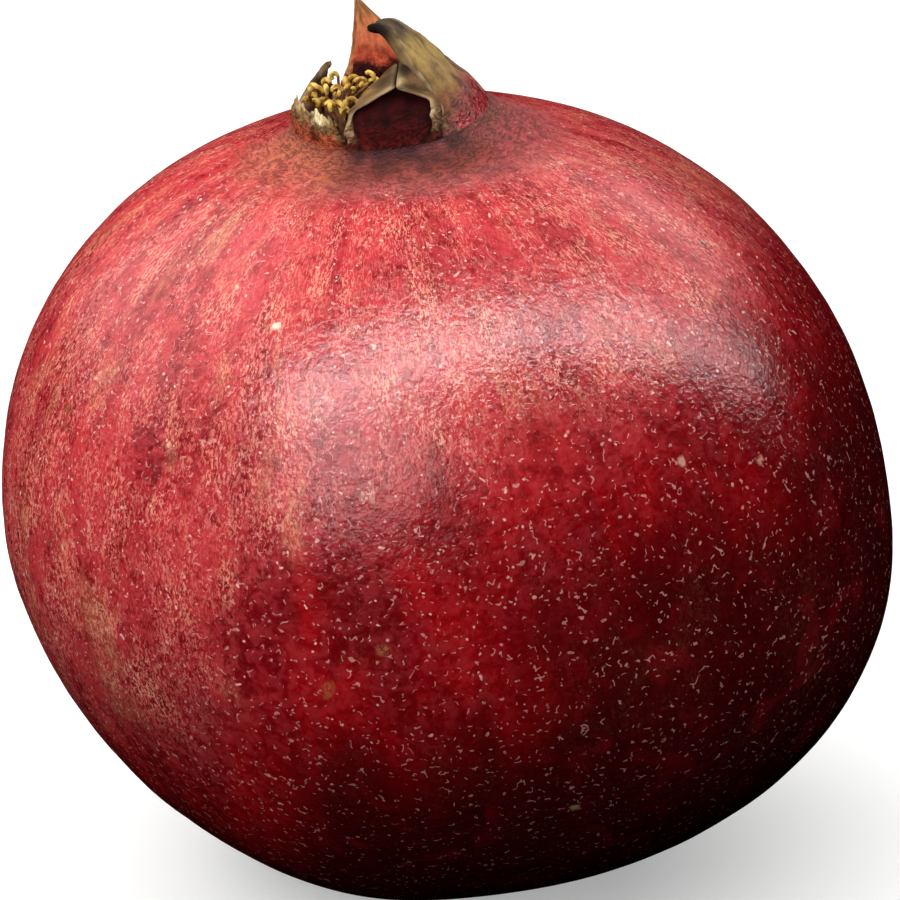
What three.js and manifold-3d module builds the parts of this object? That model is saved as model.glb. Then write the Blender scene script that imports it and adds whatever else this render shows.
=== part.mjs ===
// A ripe pomegranate standing on its stem end, calyx crown up. Millimetres, +Z up.
// The rind, the calyx tube and its six sepals grew as one piece and are one closed mesh, rolled up from
// one grid: its columns are meridians from the stem end to the crown, and above the calyx tube's rim the
// columns part into the sepals. The dried stamens and the cut stalk are meshes of their own.
// Azimuths are in degrees about the crown's axis: 0 faces -Y, 90 faces +X.

import * as THREE from "three";
import { mergeVertices } from "three/addons/utils/BufferGeometryUtils.js";
import Module from "manifold-3d";

const wasm = await Module();
wasm.setup();

// Body
const HALF_WIDTH = 46.5;
const HALF_DEPTH = 45.6;
const TOP_HEIGHT = 44.4; // above the belly
const FOOT_HEIGHT = 40.7;
const TOP_SQUARENESS = 2.13; // exponent of the side outline above the belly, 2 is an ellipse
const FOOT_SQUARENESS = 1.84;
const SWAY = [
  // how the body's middle line wanders to +X with height: by how much, half waves, shift of the wave
  { amount: 0.47, waves: 0.5, shift: 0 },
  { amount: 3.64, waves: 0.5, shift: 90 },
  { amount: -1.12, waves: 1, shift: 0 },
  { amount: -0.32, waves: 1.5, shift: 90 },
];
const LOBES = [
  // soft ridges where the inner walls meet the rind: how many, how high, turned by
  { count: 3, height: 0.5, turn: 53 },
  { count: 5, height: 0.7, turn: -18 },
];

// Foot: a flat ring to rest on, round the hollow that holds the stalk
const REST_RADIUS = 11;
const HOLLOW_DEPTH = 2.6;
const FOOT_ROWS = [
  // from the hollow's middle to the resting ring's rim: radius, height
  [0, HOLLOW_DEPTH],
  [3.6, HOLLOW_DEPTH],
  [4.5, 1.6],
  [5.4, 0],
  [REST_RADIUS, 0],
];

// Crown
const CROWN_OFF = 6.8; // degrees from the body's top to the crown's middle, seen from the belly's centre
const CROWN_LEAN = 9; // degrees between the crown's axis and the vertical
const CROWN_TOWARDS = -45; // azimuth of both
const STRAIGHTENED = [40, 150]; // between these angles from the crown the meridians turn upright again
const NECK_START = 27; // degrees from the crown's axis at which the skin starts to rise
const NECK_PULL = 11;
const TUBE_PULL = 6;
const TUBE_SLOPE = { least: 3, most: 38, towards: 75 }; // degrees that its wall slopes inwards
const TUBE_RADIUS = 9;
const TUBE_WALL = 2.2;
const RIM_HEIGHT = 0.8; // of the notches between the sepals, above the body's own top
const CUP_ROWS = [
  // inside of the calyx tube, from under the rim to the floor's middle: radius, height
  [7.75, 0.4],
  [7.5, -1.6],
  [6.9, -3.6],
  [5.2, -4.7],
  [0, -5],
];

// Sepals, from the front one round to +X. Each is a blade that starts as its share of the tube's rim.
// shoulder: the share of its length that keeps the full width; taper: exponent of the outline beyond it;
// tip: width left at the end; lean: degrees inwards; curl: further degrees by its end, the most of them
// near it; hook: further degrees at hookAt of the length;
// skew: how far the tip stands off to the side; hood: how much tighter it cups than the tube;
// roll: how far its side margins turn outwards.
const SEPALS = [
  {
    from: -27, to: 33, length: 8.5, shoulder: 0.4, taper: 1.1, tip: 0.08,
    lean: 20, curl: 8, hook: 6, hookAt: 0.7, skew: 1.4, hood: 1, roll: 0.9,
  },
  {
    from: 33, to: 97, length: 14.4, shoulder: 0.1, taper: 1.4, tip: 0.22,
    lean: 27, curl: 36, hook: 56, hookAt: 0.88, skew: -1.2, hood: 1.4, roll: 0.3,
  },
  {
    from: 97, to: 150, length: 4.4, shoulder: 0.1, taper: 1.2, tip: 0.14,
    lean: 26, curl: 0, hook: 8, hookAt: 0.8, skew: 0.8, hood: 1.2, roll: 0,
  },
  {
    from: 150, to: 213, length: 9.1, shoulder: 0.05, taper: 1.05, tip: 0.07,
    lean: 4, curl: 0, hook: 3, hookAt: 0.8, skew: 2.2, hood: 1.1, roll: 0,
  },
  {
    from: 213, to: 263, length: 3.6, shoulder: 0.05, taper: 1, tip: 0.1,
    lean: 14, curl: 0, hook: 6, hookAt: 0.8, skew: -1.8, hood: 1.1, roll: 0,
  },
  {
    from: 263, to: 333, length: 2.6, shoulder: 0.4, taper: 2, tip: 0.7,
    lean: 3, curl: 0, hook: 0, hookAt: 0.9, skew: -0.4, hood: 1, roll: 0.2,
  },
];
const SEPAL_TIP_WALL = 0.9;
const SEPAL_MARGIN_SHARE = 0.5; // of the wall is left at a sepal's sides
const SLIT_HALF_WIDTH = 0.5; // of the gap that opens between two upright sepals
const BEND_LENGTH = 2.4; // a lean or hook is spread over this length
const LEVEL_LENGTH = 3; // from the rim, which is level, to where a sepal's section is square to it
const SLIT_LENGTH = 2; // over which a slit opens to its full width
const THINNED_BY = 0.5; // shares of its length by which a sepal is as thin as it gets,
const HOODED_BY = 0.7; // is cupped as tightly as it gets,
const ROLLED_BY = 0.4; // and has its margins thinned and rolled
const ROLLED_FROM = 0.5; // share of its half width at which the margin starts
const SKEW_POWER = 1.5; // a skew grows with this power of the distance

// Stamens: dried filaments on a ring inside the tube, each with a curled anther
const STAMEN_COUNT = 40;
const STAMEN_TRIES = 8000;
const STAMEN_GAP = 0.3; // kept to the rind
const ROOT_RADIUS = 6.35;
const ROOT_HEIGHTS = [-2.4, -1];
const HEAD_RADII = [0.8, 6.6]; // from the crown's axis to where an anther starts
const HEAD_SPREAD = [-16, 16]; // degrees that a stamen bends round the axis
const HEAD_HEIGHTS = [0.2, 4.4]; // the least under the leaning sepals, the most beside the broken one
const HEAD_DROP = 1; // the most that an anther hangs below its neighbours
const OPEN_SIDE = 292; // azimuth
const ELBOW_RISES = [0.2, 0.9];
const RING_PROFILE = [
  // radius, height
  [7.05, -0.3],
  [6.1, -0.5],
  [5.3, -3.2],
  [6.2, -3.4],
  [6.95, -2],
];
const RING_SIDES = 30;
const STAMEN_RADII = [0.24, 0.24, 0.3, 0.42, 0.38, 0.14]; // at the root, elbow and along the anther
const ANTHER_STEPS = 3;
const ANTHER_STEP = 0.57;
const ANTHER_CURLS = [24, 42]; // degrees a step
const STAMEN_SIDES = 4;
const BEADS_A_STEP = 6;
const BEAD_MARGIN = 0.06;
const SEED = 31;

// Stalk: what is left of it in the foot's hollow
const STALK_TOP = HOLLOW_DEPTH - 0.3;
const STALK_PROFILE = [
  // from the middle of its cut end, above what the fruit rests on, to its top: radius, height
  [0, 0.75],
  [1.1, 0.6],
  [2.15, 0.6],
  [2.5, 1],
  [2.35, STALK_TOP],
  [0, STALK_TOP],
];
const STALK_SIDES = 14;

// Grid
const SIDE_STEPS = [-1, -0.9, -0.68, -0.45, -0.22, 0, 0.22, 0.45, 0.68, 0.9, 1]; // across a sepal
const SEPAL_STEPS = [0, 0.1, 0.26, 0.42, 0.56, 0.68, 0.8, 0.9, 1]; // along a sepal
const BODY_ROWS = 22;
const NECK_ROWS = 6;
const SPINE_STEPS = 24;
const MERGE_DISTANCE = 1e-3;

const rad = THREE.MathUtils.degToRad;
const lerp = THREE.MathUtils.lerp;
const smooth = (x, low, high) => THREE.MathUtils.smoothstep(x, low, high);
const UP = new THREE.Vector3(0, 0, 1);
const leanAxis = level(CROWN_TOWARDS + 90);

// A level unit vector at an azimuth.
function level(azimuth) {
  return new THREE.Vector3(Math.sin(rad(azimuth)), -Math.cos(rad(azimuth)), 0);
}

// Distance from the belly's centre to the skin along a unit direction.
function skinDistance(direction) {
  const across = Math.hypot(direction.x / HALF_WIDTH, direction.y / HALF_DEPTH);
  const upright = Math.abs(direction.z) / (direction.z > 0 ? TOP_HEIGHT : FOOT_HEIGHT);
  const power = direction.z > 0 ? TOP_SQUARENESS : FOOT_SQUARENESS;
  const distance = (across ** power + upright ** power) ** (-1 / power);
  const turn = Math.atan2(direction.x, -direction.y);
  const belly = 1 - direction.z ** 2;
  const ridges = LOBES.map((lobe) => lobe.height * Math.cos(lobe.count * (turn - rad(lobe.turn))));
  return distance + belly * ridges.reduce((sum, ridge) => sum + ridge, 0);
}

// How far the middle line stands to +X at a height, -1 at the foot, 0 at the belly and 1 at the top.
function sway(height) {
  return SWAY.reduce(
    (sum, wave) => sum + wave.amount * Math.sin(rad(180 * wave.waves * height + wave.shift)),
    0,
  );
}

const restShare = 1 - (REST_RADIUS / HALF_WIDTH) ** FOOT_SQUARENESS;
const bellyHeight = FOOT_HEIGHT * restShare ** (1 / FOOT_SQUARENESS);

// A point of the skin, by its angle from the crown's axis and its azimuth. The meridians start from the
// leaning crown and end straight below, at the stem end.
function bodyPoint(polar, azimuth) {
  const off = rad(CROWN_OFF) * (1 - smooth(polar, ...STRAIGHTENED));
  const direction = level(azimuth).multiplyScalar(Math.sin(rad(polar)));
  direction.z = Math.cos(rad(polar));
  direction.applyAxisAngle(leanAxis, off);
  const point = direction.clone().multiplyScalar(skinDistance(direction));
  point.x += sway(point.z / (point.z > 0 ? TOP_HEIGHT : FOOT_HEIGHT));
  point.z += bellyHeight;
  return point;
}

const crownBase = bodyPoint(0, 0);
const footMiddle = new THREE.Vector3(sway(-1), 0, 0);
const crownAxis = UP.clone().applyAxisAngle(leanAxis, rad(CROWN_LEAN));

// A direction in the crown's own frame: outwards at an azimuth, and up its axis.
function crownDirection(outwards, upwards, azimuth) {
  return level(azimuth)
    .applyAxisAngle(leanAxis, rad(CROWN_LEAN))
    .multiplyScalar(outwards)
    .addScaledVector(crownAxis, upwards);
}

function crownPoint(radius, height, azimuth) {
  return crownDirection(radius, height, azimuth).add(crownBase);
}

function tubeSlope(azimuth) {
  const share = (1 + Math.cos(rad(azimuth - TUBE_SLOPE.towards))) / 2;
  return lerp(TUBE_SLOPE.least, TUBE_SLOPE.most, share ** 2);
}

// The neck: a curve that leaves the body along its skin and reaches the tube's rim along its wall.
function neckPoint(share, azimuth) {
  const start = bodyPoint(NECK_START, azimuth);
  const leaving = start.clone().sub(bodyPoint(NECK_START + 1, azimuth)).setLength(NECK_PULL);
  const end = crownPoint(TUBE_RADIUS + TUBE_WALL / 2, RIM_HEIGHT, azimuth);
  const slope = rad(tubeSlope(azimuth));
  const arriving = crownDirection(-Math.sin(slope), Math.cos(slope), azimuth).setLength(TUBE_PULL);
  const s = share;
  return start
    .multiplyScalar(2 * s ** 3 - 3 * s ** 2 + 1)
    .addScaledVector(leaving, s ** 3 - 2 * s ** 2 + s)
    .addScaledVector(end, 3 * s ** 2 - 2 * s ** 3)
    .addScaledVector(arriving, s ** 3 - s ** 2);
}

// Where the middle line of a sepal is at a share of its length, and its angle inwards there.
function sepalSpine(sepal, along) {
  const slope = tubeSlope((sepal.from + sepal.to) / 2);
  const hookAt = sepal.hookAt * sepal.length;
  const angleAt = (distance) =>
    lerp(slope, sepal.lean, smooth(distance, 0, BEND_LENGTH)) +
    sepal.curl * (distance / sepal.length) ** 2 +
    sepal.hook * smooth(distance, hookAt - BEND_LENGTH / 2, hookAt + BEND_LENGTH / 2);
  const step = (along * sepal.length) / SPINE_STEPS;
  let inwards = 0;
  let upwards = 0;
  for (let i = 0; i < SPINE_STEPS; i++) {
    const angle = rad(angleAt((i + 0.5) * step));
    inwards += Math.sin(angle) * step;
    upwards += Math.cos(angle) * step;
  }
  return { inwards, upwards, angle: rad(angleAt(along * sepal.length)) };
}

// A point of a sepal: side -1 to 1 across it, along 0 to 1 up it, face 1 for the outside, -1 for the
// inside and 0 for the middle of its wall.
function sepalPoint(sepal, side, along, face) {
  const middle = (sepal.from + sepal.to) / 2;
  const halfWidth = (rad(sepal.to - sepal.from) / 2) * TUBE_RADIUS;
  const spine = sepalSpine(sepal, along);
  const narrowed = Math.max(0, (along - sepal.shoulder) / (1 - sepal.shoulder)) ** sepal.taper;
  const slit = SLIT_HALF_WIDTH * smooth(along * sepal.length, 0, SLIT_LENGTH);
  const arc = side * (halfWidth * lerp(1, sepal.tip, narrowed) - slit * (1 - narrowed));
  const cupRadius = TUBE_RADIUS / lerp(1, sepal.hood, smooth(along, 0, HOODED_BY));
  const turn = arc / cupRadius;
  const margin = smooth(Math.abs(side), ROLLED_FROM, 1) * smooth(along, 0, ROLLED_BY);
  const wall = lerp(TUBE_WALL, SEPAL_TIP_WALL, smooth(along, 0, THINNED_BY));
  const half = (face * wall * lerp(1, SEPAL_MARGIN_SHARE, margin)) / 2;
  const rolled = sepal.roll * margin * (1 - narrowed);
  const off = cupRadius * (Math.cos(turn) - 1) + half * Math.cos(turn) + rolled;
  const across = cupRadius * Math.sin(turn) + half * Math.sin(turn) + sepal.skew * along ** SKEW_POWER;
  const tilt = spine.angle * smooth(along * sepal.length, 0, LEVEL_LENGTH);
  const outwards = TUBE_RADIUS - spine.inwards + off * Math.cos(tilt);
  const upwards = RIM_HEIGHT + spine.upwards + off * Math.sin(tilt);
  return crownPoint(outwards, upwards, middle).add(crownDirection(across, 0, middle + 90));
}

// One column of the rind, from the middle of the foot's hollow over the sepal to the cup's floor.
function rindColumn(sepal, step) {
  const side = SIDE_STEPS[step];
  const evenSide = (2 * step) / (SIDE_STEPS.length - 1) - 1;
  const middle = (sepal.from + sepal.to) / 2;
  const halfAngle = (sepal.to - sepal.from) / 2;
  const bodyAzimuth = middle + halfAngle * evenSide;
  const crownAzimuth = middle + halfAngle * side;
  const atEdge = Math.abs(side) === 1;
  const rows = FOOT_ROWS.map(([radius, height]) =>
    level(bodyAzimuth).multiplyScalar(radius).setZ(height).add(footMiddle),
  );
  const footPolar = 180 - THREE.MathUtils.radToDeg(Math.atan2(REST_RADIUS, bellyHeight));
  for (let i = 1; i <= BODY_ROWS; i++)
    rows.push(bodyPoint(lerp(footPolar, NECK_START, i / BODY_ROWS), bodyAzimuth));
  for (let i = 1; i <= NECK_ROWS; i++) {
    const share = i / NECK_ROWS;
    rows.push(neckPoint(share, lerp(bodyAzimuth, crownAzimuth, share)));
  }
  const above = SEPAL_STEPS.slice(1);
  const faceOf = (face, along) => (atEdge || along === 1 ? 0 : face);
  for (const along of above) rows.push(sepalPoint(sepal, side, along, faceOf(1, along)));
  for (const along of above.slice(0, -1).reverse())
    rows.push(sepalPoint(sepal, side, along, faceOf(-1, along)));
  rows.push(crownPoint(TUBE_RADIUS - TUBE_WALL / 2, RIM_HEIGHT, crownAzimuth));
  for (const [radius, height] of CUP_ROWS) rows.push(crownPoint(radius, height, crownAzimuth));
  return rows;
}

// The rind as a closed mesh. Columns that two sepals share fall together below the rim, and above it the
// small gap in each notch between the outer and inner wall is closed with two triangles.
function rindGeometry() {
  const corners = [];
  const face = (...points) => points.forEach((p) => corners.push(p.x, p.y, p.z));
  const outerRim = 4 + BODY_ROWS + NECK_ROWS;
  const innerRim = outerRim + 2 * (SEPAL_STEPS.length - 1);
  for (const sepal of SEPALS) {
    const columns = SIDE_STEPS.map((_, step) => rindColumn(sepal, step));
    for (let c = 0; c + 1 < columns.length; c++)
      for (let r = 0; r + 1 < columns[c].length; r++) {
        const [a, b] = [columns[c][r], columns[c + 1][r]];
        const [d, e] = [columns[c][r + 1], columns[c + 1][r + 1]];
        face(a, b, e);
        face(a, e, d);
      }
    const [first, last] = [columns[0], columns[columns.length - 1]];
    face(first[outerRim], first[outerRim + 1], first[innerRim]);
    face(last[outerRim], last[innerRim], last[outerRim + 1]);
  }
  return closedGeometry(corners);
}

// Triangles with their shared corners merged and those that have collapsed taken out.
function closedGeometry(corners) {
  const loose = new THREE.BufferGeometry();
  loose.setAttribute("position", new THREE.Float32BufferAttribute(corners, 3));
  const merged = mergeVertices(loose, MERGE_DISTANCE);
  const index = merged.index.array;
  const kept = [];
  for (let i = 0; i < index.length; i += 3) {
    const [a, b, c] = index.slice(i, i + 3);
    if (a !== b && b !== c && a !== c) kept.push(a, b, c);
  }
  merged.setIndex(kept);
  merged.computeVertexNormals();
  return merged;
}

// A closed tube of changing radius through a list of points.
function sweptGeometry(points, radii) {
  const corners = [];
  const rings = [];
  let across = new THREE.Vector3(1, 0, 0);
  points.forEach((point, i) => {
    const before = points[Math.max(i - 1, 0)];
    const after = points[Math.min(i + 1, points.length - 1)];
    const tangent = after.clone().sub(before).normalize();
    across = across.clone().addScaledVector(tangent, -across.dot(tangent)).normalize();
    const other = new THREE.Vector3().crossVectors(tangent, across);
    rings.push(
      Array.from({ length: STAMEN_SIDES }, (_, k) => {
        const angle = (2 * Math.PI * k) / STAMEN_SIDES;
        return point
          .clone()
          .addScaledVector(across, radii[i] * Math.cos(angle))
          .addScaledVector(other, radii[i] * Math.sin(angle));
      }),
    );
  });
  const face = (...three) => three.forEach((p) => corners.push(p.x, p.y, p.z));
  for (let i = 0; i + 1 < rings.length; i++)
    for (let k = 0; k < STAMEN_SIDES; k++) {
      const n = (k + 1) % STAMEN_SIDES;
      face(rings[i][k], rings[i][n], rings[i + 1][n]);
      face(rings[i][k], rings[i + 1][n], rings[i + 1][k]);
    }
  const [first, last] = [rings[0], rings[rings.length - 1]];
  for (let k = 1; k + 1 < STAMEN_SIDES; k++) {
    face(first[0], first[k + 1], first[k]);
    face(last[0], last[k], last[k + 1]);
  }
  return closedGeometry(corners);
}

function solidOf(geometry) {
  const bare = geometry.clone();
  bare.deleteAttribute("normal");
  bare.deleteAttribute("uv");
  const merged = mergeVertices(bare, MERGE_DISTANCE);
  return new wasm.Manifold(
    new wasm.Mesh({
      numProp: 3,
      vertProperties: merged.attributes.position.array,
      triVerts: new Uint32Array(merged.index.array),
    }),
  );
}

function geometryOf(solid) {
  const { vertProperties, triVerts } = solid.getMesh();
  const geometry = new THREE.BufferGeometry();
  geometry.setAttribute("position", new THREE.BufferAttribute(vertProperties, 3));
  geometry.setIndex(new THREE.BufferAttribute(triVerts, 1));
  geometry.computeVertexNormals();
  return geometry;
}

// Repeatable random numbers from 0 to 1.
function seededRandom(seed) {
  let state = seed;
  return () => {
    state = (state * 1664525 + 1013904223) % 4294967296;
    return state / 4294967296;
  };
}

function between(random, [low, high]) {
  return lerp(low, high, random());
}

// How high the anthers reach inside the crown: proud of the broken sepal, low under the leaning ones.
function antherHeight(azimuth) {
  const open = (1 + Math.cos(rad(azimuth - OPEN_SIDE))) / 2;
  return lerp(...HEAD_HEIGHTS, open);
}

// The path of one stamen: up from the ring and bent in, with an anther that curls on from its end.
function stamenPath(random) {
  const rootAzimuth = between(random, [0, 360]);
  const azimuth = rootAzimuth + between(random, HEAD_SPREAD);
  const root = crownPoint(ROOT_RADIUS, between(random, ROOT_HEIGHTS), rootAzimuth);
  const height = antherHeight(azimuth) - between(random, [0, HEAD_DROP]);
  const head = crownPoint(lerp(...HEAD_RADII, Math.sqrt(random())), height, azimuth);
  const elbow = root.clone().lerp(head, 0.5).addScaledVector(crownAxis, between(random, ELBOW_RISES));
  const heading = head.clone().sub(elbow).normalize();
  const curlAxis = crownDirection(1, 0, between(random, [0, 360])).cross(heading).normalize();
  const curl = rad(between(random, ANTHER_CURLS));
  const points = [root, elbow, head];
  for (let i = 0; i < ANTHER_STEPS; i++) {
    heading.applyAxisAngle(curlAxis, curl);
    points.push(points[points.length - 1].clone().addScaledVector(heading, ANTHER_STEP));
  }
  return points;
}

// Beads along a stamen past its root, for telling how near two stamens come.
function beadsOf(path) {
  const beads = [];
  for (let i = 0; i + 1 < path.length; i++)
    for (let k = 1; k <= BEADS_A_STEP; k++) {
      const middle = path[i].clone().lerp(path[i + 1], k / BEADS_A_STEP);
      beads.push(new THREE.Sphere(middle, Math.max(STAMEN_RADII[i], STAMEN_RADII[i + 1]) + BEAD_MARGIN));
    }
  return beads;
}

// The ring and the stamens on it that stay clear of the rind and of one another, fused into one body.
function stamenGeometry(rind) {
  const random = seededRandom(SEED);
  const leaning = new THREE.Matrix4().makeRotationAxis(leanAxis, rad(CROWN_LEAN)).setPosition(crownBase);
  const ring = turnedGeometry([...RING_PROFILE, RING_PROFILE[0]], RING_SIDES).applyMatrix4(leaning);
  const taken = [];
  const solids = [solidOf(ring)];
  for (let tries = 0; tries < STAMEN_TRIES && solids.length <= STAMEN_COUNT; tries++) {
    const path = stamenPath(random);
    const beads = beadsOf(path);
    const crowded = taken.some((other) => beads.some((bead) => bead.intersectsSphere(other)));
    if (crowded) continue;
    const roomy = solidOf(sweptGeometry(path, STAMEN_RADII.map((radius) => radius + STAMEN_GAP)));
    if (!rind.intersect(roomy).isEmpty()) continue;
    taken.push(...beads);
    solids.push(solidOf(sweptGeometry(path, STAMEN_RADII)));
  }
  return geometryOf(solids.reduce((all, next) => all.add(next)));
}

// A ring or knob turned about +Z from pairs of radius and height.
function turnedGeometry(pairs, sides) {
  const profile = pairs.map(([radius, height]) => new THREE.Vector2(radius, height));
  return new THREE.LatheGeometry(profile, sides).rotateX(Math.PI / 2);
}

function mesh(name, geometry, color, roughness) {
  const made = new THREE.Mesh(geometry, new THREE.MeshStandardMaterial({ color, roughness, metalness: 0 }));
  made.name = name;
  return made;
}

const rindShape = rindGeometry();
const pomegranate = new THREE.Group();
pomegranate.add(
  mesh("fruit", rindShape, 0xb3202b, 0.42),
  mesh("stamens", stamenGeometry(solidOf(rindShape)), 0xc9a660, 0.8),
  mesh("stalk_stub", turnedGeometry(STALK_PROFILE, STALK_SIDES).translate(...footMiddle), 0x6b4a30, 0.85),
);

// The origin is at the middle of the whole fruit's box, on what it rests on.
const box = new THREE.Box3().setFromObject(pomegranate, true);
const boxMiddle = box.getCenter(new THREE.Vector3());
pomegranate.children.forEach((piece) => piece.position.set(-boxMiddle.x, -boxMiddle.y, -box.min.z));

export default pomegranate;
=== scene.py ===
"""A ripe pomegranate standing on its stem end: rind with calyx crown, dried stamens and the cut stalk."""

import math
import random
from functools import partial

import bpy
from bpy.props import FloatProperty, FloatVectorProperty, IntProperty, PointerProperty
from mathutils import Matrix, Vector, noise
from mathutils.bvhtree import BVHTree


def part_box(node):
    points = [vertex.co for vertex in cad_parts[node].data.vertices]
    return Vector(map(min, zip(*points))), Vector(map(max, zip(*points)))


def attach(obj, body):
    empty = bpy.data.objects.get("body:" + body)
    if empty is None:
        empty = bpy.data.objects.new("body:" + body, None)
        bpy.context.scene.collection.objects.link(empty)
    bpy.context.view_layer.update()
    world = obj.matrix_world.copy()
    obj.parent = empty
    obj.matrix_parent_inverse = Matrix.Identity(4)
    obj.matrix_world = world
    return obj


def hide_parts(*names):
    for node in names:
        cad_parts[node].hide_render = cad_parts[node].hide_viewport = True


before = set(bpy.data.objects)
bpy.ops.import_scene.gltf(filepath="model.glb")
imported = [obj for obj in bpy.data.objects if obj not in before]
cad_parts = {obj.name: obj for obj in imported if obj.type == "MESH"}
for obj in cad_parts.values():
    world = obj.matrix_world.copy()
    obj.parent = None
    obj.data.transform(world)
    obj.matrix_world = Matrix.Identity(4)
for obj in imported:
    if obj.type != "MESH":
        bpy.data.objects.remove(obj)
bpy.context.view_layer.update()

bl_info = {
    "name": "Ripe pomegranate",
    "version": (1, 0, 0),
    "blender": (4, 5, 0),
    "location": "View3D > Sidebar > Pomegranate",
    "description": "Models a whole ripe pomegranate with its calyx crown and dried stamens",
    "category": "Add Mesh",
}

MM = 0.001

# Body, in millimetres and degrees, as in the part's own source
HALF_WIDTH = 46.5
HALF_DEPTH = 45.6
TOP_HEIGHT = 44.4
FOOT_HEIGHT = 40.7
TOP_SQUARENESS = 2.13
FOOT_SQUARENESS = 1.84
SWAY = ((0.47, 0.5, 0), (3.64, 0.5, 90), (-1.12, 1, 0), (-0.32, 1.5, 90))  # amount, half waves, shift
LOBES = ((3, 0.5, 53), (5, 0.7, -18))  # count, height, turn
REST_RADIUS = 11
HOLLOW_DEPTH = 2.6
HOLLOW_FLOOR = 3.4  # radius of the hollow's level floor
HOLLOW_RADIUS = 5.6  # radius at which the hollow meets the resting ring

# Crown
CROWN_OFF = 6.8
CROWN_LEAN = 9
CROWN_TOWARDS = -45
STRAIGHTENED = (40, 150)
NECK_START = 27
NECK_PULL = 11
TUBE_PULL = 6
TUBE_SLOPE_LEAST = 3
TUBE_SLOPE_MOST = 38
TUBE_SLOPE_TOWARDS = 75
TUBE_RADIUS = 9
TUBE_WALL = 2.2
RIM_HEIGHT = 0.8
CUP_ROWS = ((7.75, 0.4), (7.6, -0.6), (7.5, -1.6), (7.3, -2.7), (6.9, -3.6), (6.1, -4.3), (5.2, -4.7),
            (3.4, -4.9), (1.6, -5), (0, -5))

# Sepals, from the front one round to +X
SEPALS = {
    # A hem is how far a dried margin has folded over at shares of the sepal's length: the first side, the other
    "front": dict(start=-27, end=33, length=8.1, shoulder=0.48, taper=1, tip=0.06, lean=20, curl=8,
                  hook=6, hook_at=0.7, skew=1.4, hood=1, roll=0.4, ragged=0.05, crumple=0.14, edge_wall=1,
                  hem=(((0.1, 0.1), (0.42, 0.15), (0.52, 0.8), (0.76, 3.4)),
                       ((0.1, 0.1), (0.3, 0.9), (0.5, 0.8), (0.76, 3.4)))),
    "hooded": dict(start=33, end=97, length=14.4, shoulder=0.1, taper=1.4, tip=0.22, lean=27, curl=36,
                   hook=56, hook_at=0.88, skew=-1.2, hood=1.4, roll=0.3, ragged=0.05, crumple=0.2, edge_wall=1,
                   hem=(((0.06, 0.5), (0.15, 0.95), (0.35, 0.75), (0.6, 0.4), (0.85, 0.25)), None)),
    "hidden": dict(start=97, end=150, length=4.4, shoulder=0.1, taper=1.2, tip=0.14, lean=26, curl=0,
                   hook=8, hook_at=0.8, skew=0.8, hood=1.2, roll=0, hem=None, ragged=0.1, crumple=0.16,
                   edge_wall=0.7),
    "upright": dict(start=150, end=213, length=9.6, shoulder=0.05, taper=1.05, tip=0.05, lean=4, curl=0,
                    hook=3, hook_at=0.8, skew=2.2, hood=1.1, roll=0, hem=None, ragged=0.04, crumple=0.12,
                    edge_wall=0.8),
    "short": dict(start=213, end=263, length=3.9, shoulder=0, taper=0.8, tip=0.08, lean=14, curl=0,
                  hook=6, hook_at=0.8, skew=-2.2, hood=1.1, roll=0, hem=None, ragged=0.1, crumple=0.2,
                  edge_wall=0.5),
    "torn": dict(start=263, end=333, length=3.5, shoulder=0.5, taper=2, tip=0.75, lean=3, curl=0,
                 hook=0, hook_at=0.9, skew=-0.3, hood=1, roll=0.2, hem=None, ragged=0.45, crumple=0.26,
                 edge_wall=0.3),
}
SEPAL_TIP_WALL = 0.9
SEPAL_MARGIN_SHARE = 0.36
SLIT_HALF_WIDTH = 0.5
BEND_LENGTH = 2.4
LEVEL_LENGTH = 3
SLIT_LENGTH = 2
THINNED_BY = 0.5
THINNED_OVER = 3  # mm at the least
KEPT_OUT = 0.8  # share of the thinning that is taken from the inner side near the rim,
KEPT_OUT_TO = 5  # and up to how many mm above it
HOODED_BY = 0.7
ROLLED_BY = 0.4
ROLLED_FROM = 0.5
SKEW_POWER = 1.5
HEM_RADIUS = 0.3  # of the fold where a dried margin has turned over
HEM_ANGLE = 164  # degrees that it has turned
HEM_FROM = 0.72  # share of the half width at which it starts
HEM_RISE = (0.4, 2.6)  # mm above the rim over which it starts to turn

# Grid: columns across one sepal's share of the fruit, and rows from the stem end to the cup's floor
COLUMNS = 40
FOOT_STEPS = 12
BODY_STEPS = 118
NECK_STEPS = 26
SEPAL_STEPS = 30
SPINE_STEPS = 20
EDGE_CROWDING = 0.1  # how much nearer the columns stand at a sepal's sides
MERGE_DISTANCE = 1e-6

def lerp(a, b, share):
    return a + (b - a) * share


def smooth(x, low, high):
    share = min(max((x - low) / (high - low), 0), 1)
    return share * share * (3 - 2 * share)


def linear(hex_colour):
    """An sRGB colour such as 'A0522D' as linear red, green, blue and 1."""
    channels = [int(hex_colour[i:i + 2], 16) / 255 for i in (0, 2, 4)]
    return (*[c / 12.92 if c <= 0.04045 else ((c + 0.055) / 1.055) ** 2.4 for c in channels], 1.0)


def blended(a, b, share):
    return tuple(lerp(x, y, share) for x, y in zip(a, b))


def rough(x, y, z, seed=0):
    """Smooth noise of about -1 to 1."""
    return noise.noise(Vector((x + 17.3 * seed, y - 9.1 * seed, z + 4.7 * seed))) * 1.6


def level(azimuth):
    """A level unit vector: azimuth 0 faces -Y and 90 faces +X."""
    return Vector((math.sin(math.radians(azimuth)), -math.cos(math.radians(azimuth)), 0))


leaning_axis = level(CROWN_TOWARDS + 90)


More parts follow.
